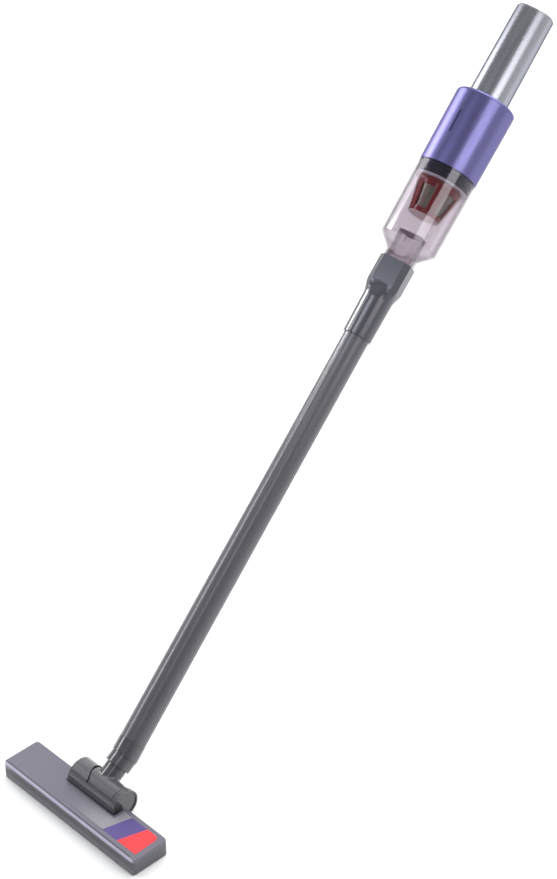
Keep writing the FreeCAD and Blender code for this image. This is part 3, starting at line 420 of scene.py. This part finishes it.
LOOKS = {
    cover: ["head_cover"],
    base: ["head_base"],
    pivot: ["pivot_cradle", "pivot_cap_left", "pivot_cap_right", "pivot_barrel", "swivel_collar",
            "elbow_coupling"],
    label_film(): ["label_panel"],
    felt("felt", rgb(44, 44, 48)): ["lint_strip_front", "lint_strip_rear", "barrel_seals"],
    rubber("seal_rubber", rgb(30, 30, 33)):
        ["duct_seal", "adapter_seal", "cup_seal", "fan_damper", "button_dome"],
    rubber("flap_rubber", rgb(150, 128, 150), rough=0.4): ["flap_valve"],
    rubber("roller_rubber", rgb(52, 52, 55), rough=0.6): ["roller_left", "roller_right"],
    steel: ["roller_axles", "head_screws", "cradle_screws", "flap_pin", "impeller_shaft", "handle_screws"],
    acetal: ["swivel_ring"],
    tube: ["extension_tube"],
    adapter: ["wand_adapter"],
    clear("clear_cup", (0.772, 0.746, 0.772)): ["dust_cup"],
    clear("inlet_clear", (0.95, 0.925, 0.945), rough=0.08, depth=0.5, outline=0.3): ["inlet_tube"],
    basket: ["cyclone_frame"],
    two_tone(): ["filter_ring"],
    mount: ["cup_mount"],
    screen_mesh(): ["mesh_screen"],
    housing: ["motor_housing"],
    light_bar: ["light_bar"],
    black: ["fan_shroud", "motor_frame", "battery_holder_lower", "battery_holder_upper"],
    rotor: ["impeller"],
    motor_can: ["motor"],
    foam(): ["exhaust_foam"],
    rubber("leads", rgb(150, 30, 26), rough=0.5): ["motor_leads"],
    handle: ["handle_tube", "end_cap"],
    board(): ["control_board", "switch_board"],
    cells: ["battery_cells"],
    nickel: ["cell_tabs"],
    button: ["power_button"],
    socket: ["charge_socket"],
}

for look, names in LOOKS.items():
    for name in names:
        slots = nodes[name].material_slots
        for slot in slots:
            slot.material = look
        if not slots:
            nodes[name].data.materials.append(look)


# ---------------------------------------------------------------- pieces made here

def finished(name, mesh, material, body, *replaced, slot=None, smooth=True):
    """Links a mesh that was built in the stick frame, and says what it rides on and stands for."""
    data = bpy.data.meshes.new(name)
    mesh.to_mesh(data)
    mesh.free()
    data.transform(STICK)
    if smooth:
        for face in data.polygons:
            face.use_smooth = True
    obj = bpy.data.objects.new(name, data)
    bpy.context.scene.collection.objects.link(obj)
    data.materials.append(material)
    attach(obj, body)
    if replaced:
        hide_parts(*replaced)
    return obj


def join_loops(mesh, loops):
    """Faces between neighbouring loops of vertices, the last joined to the first."""
    count = len(loops[0])
    for first, second in zip(loops, loops[1:] + loops[:1]):
        for k in range(count):
            j = (k + 1) % count
            mesh.faces.new((first[k], first[j], second[j], second[k]))


def turned(mesh, radius, height, turns):
    """A loop of vertices about the stick's axis, at the given angles."""
    return [mesh.verts.new((radius * math.cos(turn), radius * math.sin(turn), height)) for turn in turns]


def add_ring(mesh, inner, outer, low, high, steps=72):
    """A flat ring about the stick's axis."""
    turns = [2 * math.pi * k / steps for k in range(steps)]
    corners = ((inner, low), (outer, low), (outer, high), (inner, high))
    join_loops(mesh, [turned(mesh, radius, height, turns) for radius, height in corners])


def pleated_filter():
    """Filter paper folded into pleats round the cartridge, with a glued ring at each end."""
    pleats, outer, inner, low, high, thick = 36, 0.0161, 0.0118, 0.7170, 0.7525, 0.0004
    ring_inner, ring_outer, ring_high, glue_gap = 0.0092, 0.0163, 0.0012, 0.00001
    mesh = bmesh.new()
    loops = []
    for inset, height in ((0.0, low), (0.0, high), (thick, high), (thick, low)):
        loop = []
        for k in range(2 * pleats):
            angle = math.pi * k / pleats
            radius = (inner if k % 2 else outer) - inset
            loop.append(mesh.verts.new((radius * math.cos(angle), radius * math.sin(angle), height)))
        loops.append(loop)
    join_loops(mesh, loops)
    for foot in (low - ring_high, high + glue_gap):
        add_ring(mesh, ring_inner, ring_outer, foot, foot + ring_high)
    return mesh


def silicone_dome(low, high):
    """Skirt, softly bulging wall and rolled rim, turned about the stick's axis."""
    foot_radius, taper, bulge_depth, steps = 0.0081, 0.0016, 0.00018, 10
    wall_low, wall_high = low + 0.0009, high - 0.0003
    outline = [(0.0072, low), (0.0087, low), (0.0090, low + 0.0003), (0.0089, low + 0.0007),
               (foot_radius, wall_low)]
    for k in range(1, steps):
        part = k / steps
        bulge = bulge_depth * math.sin(math.pi * part)
        outline.append((foot_radius - taper * part + bulge, wall_low + (wall_high - wall_low) * part))
    outline += [(0.0064, high - 0.0001), (0.0062, high), (0.0055, high), (0.0053, high - 0.0002),
                (0.0053, high - 0.0008), (0.0056, high - 0.0010)]
    mesh = bmesh.new()
    turns = [math.pi * k / 48 for k in range(96)]
    loops = [turned(mesh, radius, height, turns) for radius, height in outline]
    join_loops(mesh, loops)
    bmesh.ops.recalc_face_normals(mesh, faces=mesh.faces)
    return mesh


DOME_LOW, DOME_HIGH, DOME_KEEP = 0.97665, 0.98605, 0.86

finished("pleated_filter", pleated_filter(), paper(), "filter", "filter_cartridge", slot="filter_paper",
         smooth=False)
dome = finished("silicone_dome", silicone_dome(DOME_LOW, DOME_HIGH),
                rubber("silicone", rgb(58, 58, 64), rough=0.45), "unit", "button_dome", slot="seal_rubber")
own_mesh(dome)


# ---------------------------------------------------------------- floor, light, camera

FLOOR_HALF, FLOOR_DROP = 30.0, -0.0003

floor_mesh = bmesh.new()
bmesh.ops.create_grid(floor_mesh, x_segments=8, y_segments=8, size=FLOOR_HALF)
floor_data = bpy.data.meshes.new("floor")
floor_mesh.to_mesh(floor_data)
floor_mesh.free()
floor = bpy.data.objects.new("floor", floor_data)
floor.location = (0, 0.4, FLOOR_DROP)
bpy.context.scene.collection.objects.link(floor)
floor_look = Nodes("floor")
floor_look.link(floor_look.mix(floor_look.noise(6.0), (0.90, 0.90, 0.90), (0.93, 0.93, 0.93)),
                floor_look.shader.inputs["Base Color"])
floor_look.set(Roughness=0.9, Specular_IOR_Level=0.1)
floor_data.materials.append(floor_look.material)

# the camera looks down from the right of the head's front
AZIMUTH, ELEVATION = math.radians(45.99), math.radians(35.17)
CAMERA_PLACE = Vector((1.6004, -1.2411, 1.9369))
CAMERA_TURN = Matrix.Rotation(AZIMUTH, 3, "Z") @ Matrix.Rotation(math.pi / 2 - ELEVATION, 3, "X")
RIGHT, UP, BACK = CAMERA_TURN.transposed()

camera_data = bpy.data.cameras.new("camera")
camera_data.lens = 99.9
camera_data.sensor_width = 36.0
camera_data.clip_start, camera_data.clip_end = 0.05, 50.0
camera = bpy.data.objects.new("camera", camera_data)
camera.matrix_world = Matrix.Translation(CAMERA_PLACE) @ CAMERA_TURN.to_4x4()
bpy.context.scene.collection.objects.link(camera)
bpy.context.scene.camera = camera

# directions round the stick, as the camera sees it: towards the camera, and to its right
FACE = (BACK - AXIS * BACK.dot(AXIS)).normalized()
SIDE = AXIS.cross(FACE)
if SIDE.dot(RIGHT) < 0:
    SIDE = -SIDE


def softbox(name, angle, height, distance, width, length, radiance, tone=(1.0, 1.0, 1.0)):
    """A rectangular light turned to the stick at a height along it, `angle` degrees round from the camera."""
    turn = math.radians(angle)
    towards = FACE * math.cos(turn) + SIDE * math.sin(turn)
    data = bpy.data.lights.new(name, "AREA")
    data.shape = "RECTANGLE"
    data.size, data.size_y = width, length
    data.energy = radiance * math.pi * width * length
    data.color = tone
    light = bpy.data.objects.new(name, data)
    axes = Matrix((AXIS.cross(towards), AXIS, towards)).transposed()
    light.matrix_world = Matrix.Translation(ELBOW + AXIS * height + towards * distance) @ axes.to_4x4()
    bpy.context.scene.collection.objects.link(light)


softbox("softbox_right_high", 25, 1.18, 1.9, 1.2, 0.75, 3.4)
softbox("softbox_right_low", -16, 0.42, 2.1, 0.30, 0.60, 4.4)
softbox("softbox_left_low", -80, 0.30, 1.8, 0.30, 1.1, 11.0)
softbox("softbox_left_high", -110, 1.18, 1.6, 1.0, 0.50, 4.0)
softbox("softbox_cup", -103, 0.88, 1.6, 0.50, 0.24, 22.0)
softbox("softbox_panel", -41, 0.86, 2.0, 0.9, 0.18, 8.0, (0.84, 0.92, 1.0))

# the main light is high beyond the top of the stick, so the stick's sides don't mirror it
main_data = bpy.data.lights.new("main", "AREA")
main_data.shape = "RECTANGLE"
main_data.size, main_data.size_y = 3.6, 2.4
main_data.energy = 110
MAIN_PLACE, MAIN_AIM = Vector((-0.5, 3.7, 3.1)), Vector((0, 0.3, 0))
main = bpy.data.objects.new("main", main_data)
main.location = MAIN_PLACE
main.rotation_euler = (MAIN_AIM - MAIN_PLACE).to_track_quat("-Z", "Y").to_euler()
bpy.context.scene.collection.objects.link(main)

# the world glows beyond the stick's top end, and along the horizon
world = bpy.data.worlds.new("studio")
world.use_nodes = True
sky = world.node_tree
place = sky.nodes.new("ShaderNodeTexCoord")
along = sky.nodes.new("ShaderNodeVectorMath")
along.operation = "DOT_PRODUCT"
along.inputs[1].default_value = AXIS
glow = sky.nodes.new("ShaderNodeMapRange")
glow.interpolation_type = "SMOOTHSTEP"
set_range(glow, 0.25, 0.95, 0.20, 1.6)
height = sky.nodes.new("ShaderNodeSeparateXYZ")
horizon = sky.nodes.new("ShaderNodeMapRange")
horizon.interpolation_type = "SMOOTHSTEP"
set_range(horizon, 0.10, 0.50, 0.78, 0.20)
brighter = sky.nodes.new("ShaderNodeMath")
brighter.operation = "MAXIMUM"
sky.links.new(place.outputs["Generated"], along.inputs[0])
sky.links.new(place.outputs["Generated"], height.inputs["Vector"])
sky.links.new(along.outputs["Value"], glow.inputs["Value"])
sky.links.new(height.outputs["Z"], horizon.inputs["Value"])
sky.links.new(glow.outputs["Result"], brighter.inputs[0])
sky.links.new(horizon.outputs["Result"], brighter.inputs[1])
sky.links.new(brighter.outputs["Value"], sky.nodes["Background"].inputs["Strength"])
sky.nodes["Background"].inputs["Color"].default_value = (1.0, 1.0, 1.0, 1.0)
bpy.context.scene.world = world
bpy.context.scene.view_settings.view_transform = "Standard"
